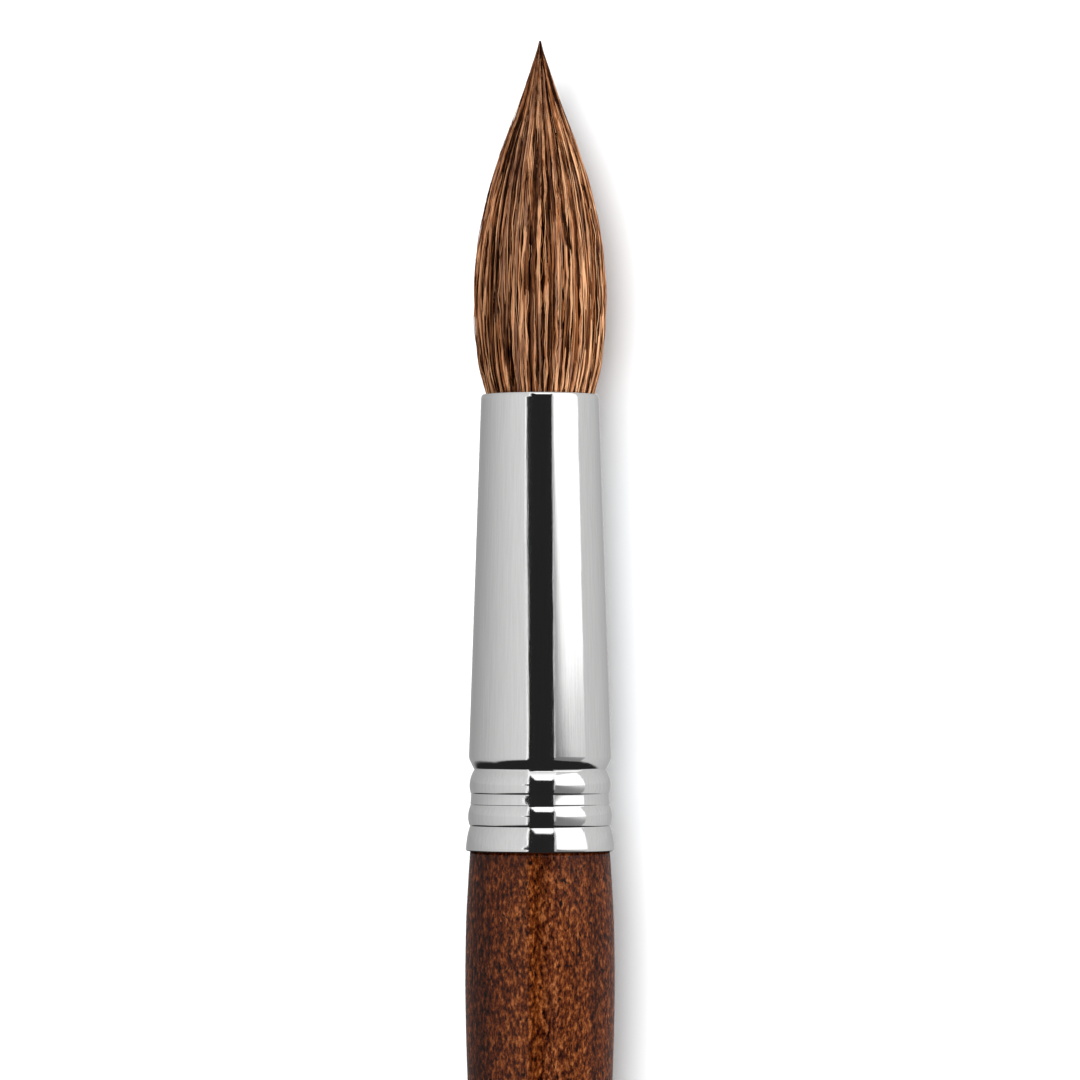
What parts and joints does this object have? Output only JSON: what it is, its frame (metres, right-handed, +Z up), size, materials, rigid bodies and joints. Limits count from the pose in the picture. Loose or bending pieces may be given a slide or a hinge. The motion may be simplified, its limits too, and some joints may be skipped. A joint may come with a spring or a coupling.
{
  "type": "round paint brush",
  "caption": "Round watercolour brush: a tapered, crimped metal ferrule joins a pointed tuft of hair to a turned and lacquered wooden handle.",
  "frame": {"origin": "middle of the base of the bounding box, on the surface that the brush lies on", "axes": "+X along the brush towards the tip of its hair, +Z up from the surface, +Y across the brush"},
  "size_m": [0.261, 0.017, 0.0171],
  "materials": {
    "lacquered_wood": "glossy clear lacquer over flecked mahogany-red wood",
    "nickel_plate": "bright nickel plate, mirror polished",
    "hair": "dark brown hair streaked with golden strands",
    "thread": "waxed linen thread",
    "resin": "clear amber set resin",
    "glue": "set yellowish glue"
  },
  "bodies": {
    "handle_and_ferrule": {"handle": "lacquered_wood", "handle_glue": "glue", "ferrule": "nickel_plate", "root_resin": "resin", "root_binding": "thread", "tuft_root": "hair"},
    "tuft": {"tuft_hair": "hair"}
  },
  "joints": [
    {"name": "tuft_bend", "type": "hinge", "parent": "handle_and_ferrule", "child": "tuft", "pos_m": [0.09395, 0, 0.00854], "axis": [0, 0, 1], "range_deg": [-35, 35], "stiffness_Nm_per_rad": 0.015}
  ]
}
